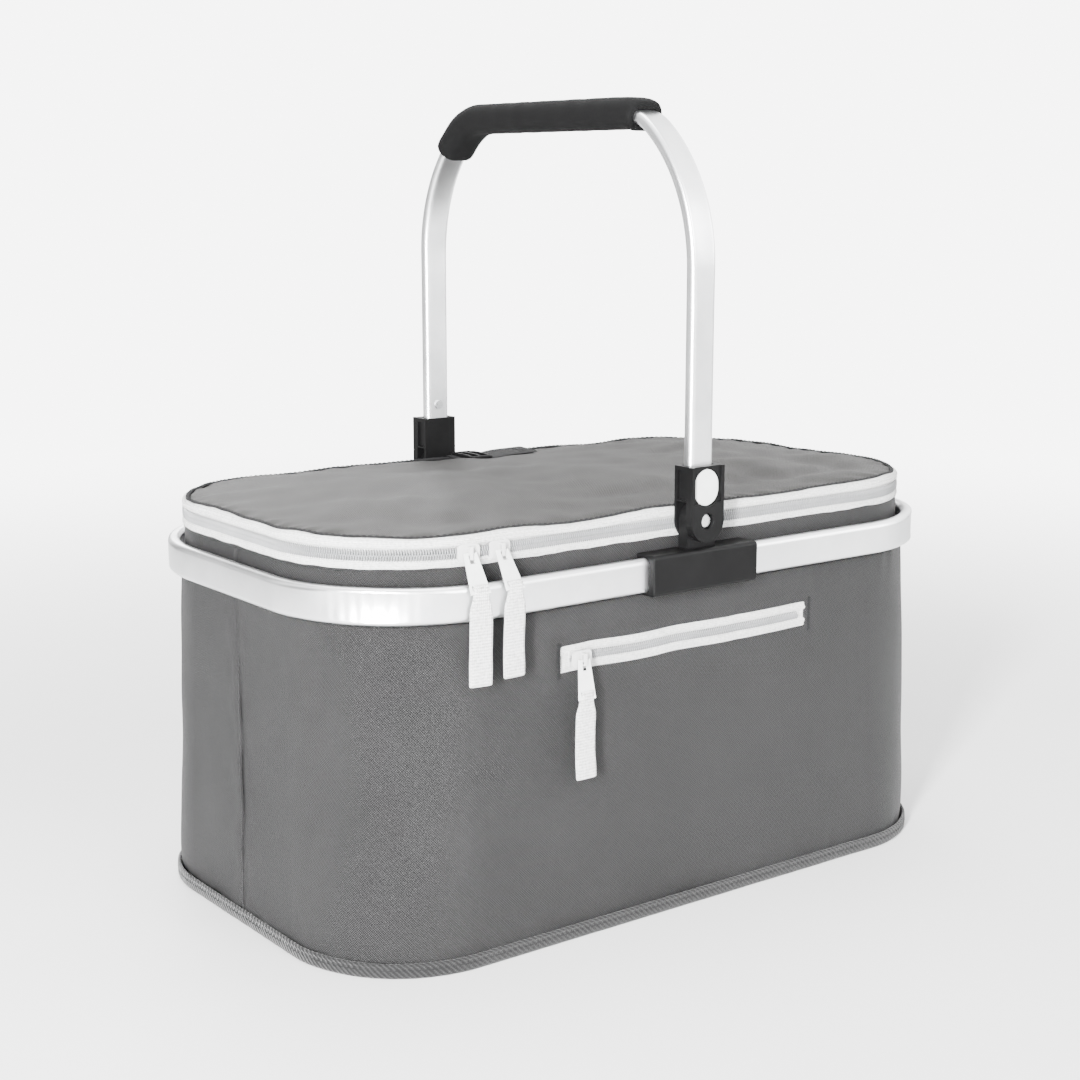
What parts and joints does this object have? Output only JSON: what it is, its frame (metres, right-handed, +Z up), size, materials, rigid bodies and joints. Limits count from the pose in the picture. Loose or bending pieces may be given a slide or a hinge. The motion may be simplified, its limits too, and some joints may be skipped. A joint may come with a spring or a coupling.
{
  "type": "insulated cooler basket",
  "caption": "Soft-sided insulated basket with a bent metal rim, a swinging padded carry handle, a zipped hinged lid with two pulls and a zipped front pocket.",
  "frame": {"origin": "centre of the base, on the ground plane", "axes": "+Z up, +X along the long side, -Y towards the front pocket"},
  "size_m": [0.47, 0.2917, 0.4746],
  "materials": {
    "anodised_aluminium": "satin",
    "black_plastic": "satin",
    "white_plastic": "smooth",
    "white_metal": "gloss",
    "steel": "satin",
    "grey_fabric": "woven",
    "lid_fabric": "woven",
    "dark_binding": "ribbed",
    "foam": "closed-cell foam",
    "silver_liner": "foil",
    "white_zip": "woven",
    "black_webbing": "ribbed",
    "white_webbing": "ribbed",
    "grip_foam": "matte foam"
  },
  "bodies": {
    "frame_and_bag": {"rim_tube_left": "anodised_aluminium", "rim_tube_right": "anodised_aluminium", "hinge_bracket_front": "black_plastic", "hinge_bracket_rear": "black_plastic", "rim_coupling_front": "black_plastic", "rim_coupling_rear": "black_plastic", "coupling_screws": "steel", "top_collar": "grey_fabric", "collar_rivets": "steel", "wall_shell_front": "grey_fabric", "wall_shell_rear": "grey_fabric", "wall_foam_front": "foam", "wall_foam_rear": "foam", "liner_walls": "silver_liner", "pocket_pouch": "grey_fabric", "bottom_panel": "grey_fabric", "bottom_binding": "dark_binding", "base_board": "white_plastic", "base_foam": "foam", "liner_floor": "silver_liner", "lid_zip_lower": "white_zip", "lid_hinge_strip": "dark_binding", "pocket_zip": "white_zip"},
    "lid": {"lid_zip_upper": "white_zip", "lid_cover": "lid_fabric", "lid_foam": "foam", "lid_liner": "silver_liner", "lid_piping": "dark_binding", "lid_strap": "black_webbing", "strap_ring": "black_plastic"},
    "handle": {"handle_tube": "anodised_aluminium", "handle_grip": "grip_foam", "handle_socket_front": "black_plastic", "handle_socket_rear": "black_plastic", "pivot_pin_front": "steel", "pivot_pin_rear": "steel", "latch_spring_front": "steel", "latch_spring_rear": "steel", "handle_rivets": "steel"},
    "lock_button_front": {"lock_button_front": "white_plastic"},
    "lock_button_rear": {"lock_button_rear": "white_plastic"},
    "lid_slider_left": {"lid_slider_left": "white_metal"},
    "lid_pull_left": {"lid_pull_tab_left": "white_plastic", "lid_pull_ribbon_left": "white_webbing"},
    "lid_slider_right": {"lid_slider_right": "white_metal"},
    "lid_pull_right": {"lid_pull_tab_right": "white_plastic", "lid_pull_ribbon_right": "white_webbing"},
    "pocket_slider": {"pocket_zip_slider": "white_metal"},
    "pocket_pull": {"pocket_pull_tab": "white_plastic", "pocket_pull_ribbon": "white_webbing"}
  },
  "joints": [
    {"name": "handle_swing", "type": "hinge", "parent": "frame_and_bag", "child": "handle", "pos_m": [0, 0, 0.2345], "axis": [0, 1, 0], "range_deg": [-79, 79]},
    {"name": "lock_button_front_press", "type": "slide", "parent": "handle", "child": "lock_button_front", "axis": [0, 1, 0], "range_m": [0, 0.0014], "stiffness_N_per_m": 1500, "springref_m": -0.001, "deforming": ["latch_spring_front"]},
    {"name": "lock_button_rear_press", "type": "slide", "parent": "handle", "child": "lock_button_rear", "axis": [0, -1, 0], "range_m": [0, 0.0014], "stiffness_N_per_m": 1500, "springref_m": -0.001, "deforming": ["latch_spring_rear"]},
    {"name": "lid_open", "type": "hinge", "parent": "frame_and_bag", "child": "lid", "pos_m": [0, 0.124, 0.236], "axis": [-1, 0, 0], "range_deg": [0, 48], "deforming": ["lid_zip_upper", "lid_piping"]},
    {"name": "lid_slider_left_run", "type": "hinge", "parent": "frame_and_bag", "child": "lid_slider_left", "pos_m": [-0.143, -0.0438, 0.2322], "axis": [0, 0, -1], "range_deg": [0, 78]},
    {"name": "lid_pull_left_swing", "type": "hinge", "parent": "lid_slider_left", "child": "lid_pull_left", "pos_m": [-0.15607, -0.13022, 0.2317], "axis": [-0.9888, 0.1495, 0], "range_deg": [0, 90]},
    {"name": "lid_slider_right_run", "type": "slide", "parent": "frame_and_bag", "child": "lid_slider_right", "axis": [1, 0, 0], "range_m": [0, 0.085]},
    {"name": "lid_pull_right_swing", "type": "hinge", "parent": "lid_slider_right", "child": "lid_pull_right", "pos_m": [-0.136, -0.1312, 0.2317], "axis": [-1, 0, 0], "range_deg": [0, 90]},
    {"name": "pocket_slider_run", "type": "slide", "parent": "frame_and_bag", "child": "pocket_slider", "axis": [1, 0, 0], "range_m": [0, 0.168]},
    {"name": "pocket_pull_swing", "type": "hinge", "parent": "pocket_slider", "child": "pocket_pull", "pos_m": [-0.086, -0.1396, 0.1645], "axis": [-1, 0, 0], "range_deg": [0, 90]}
  ]
}
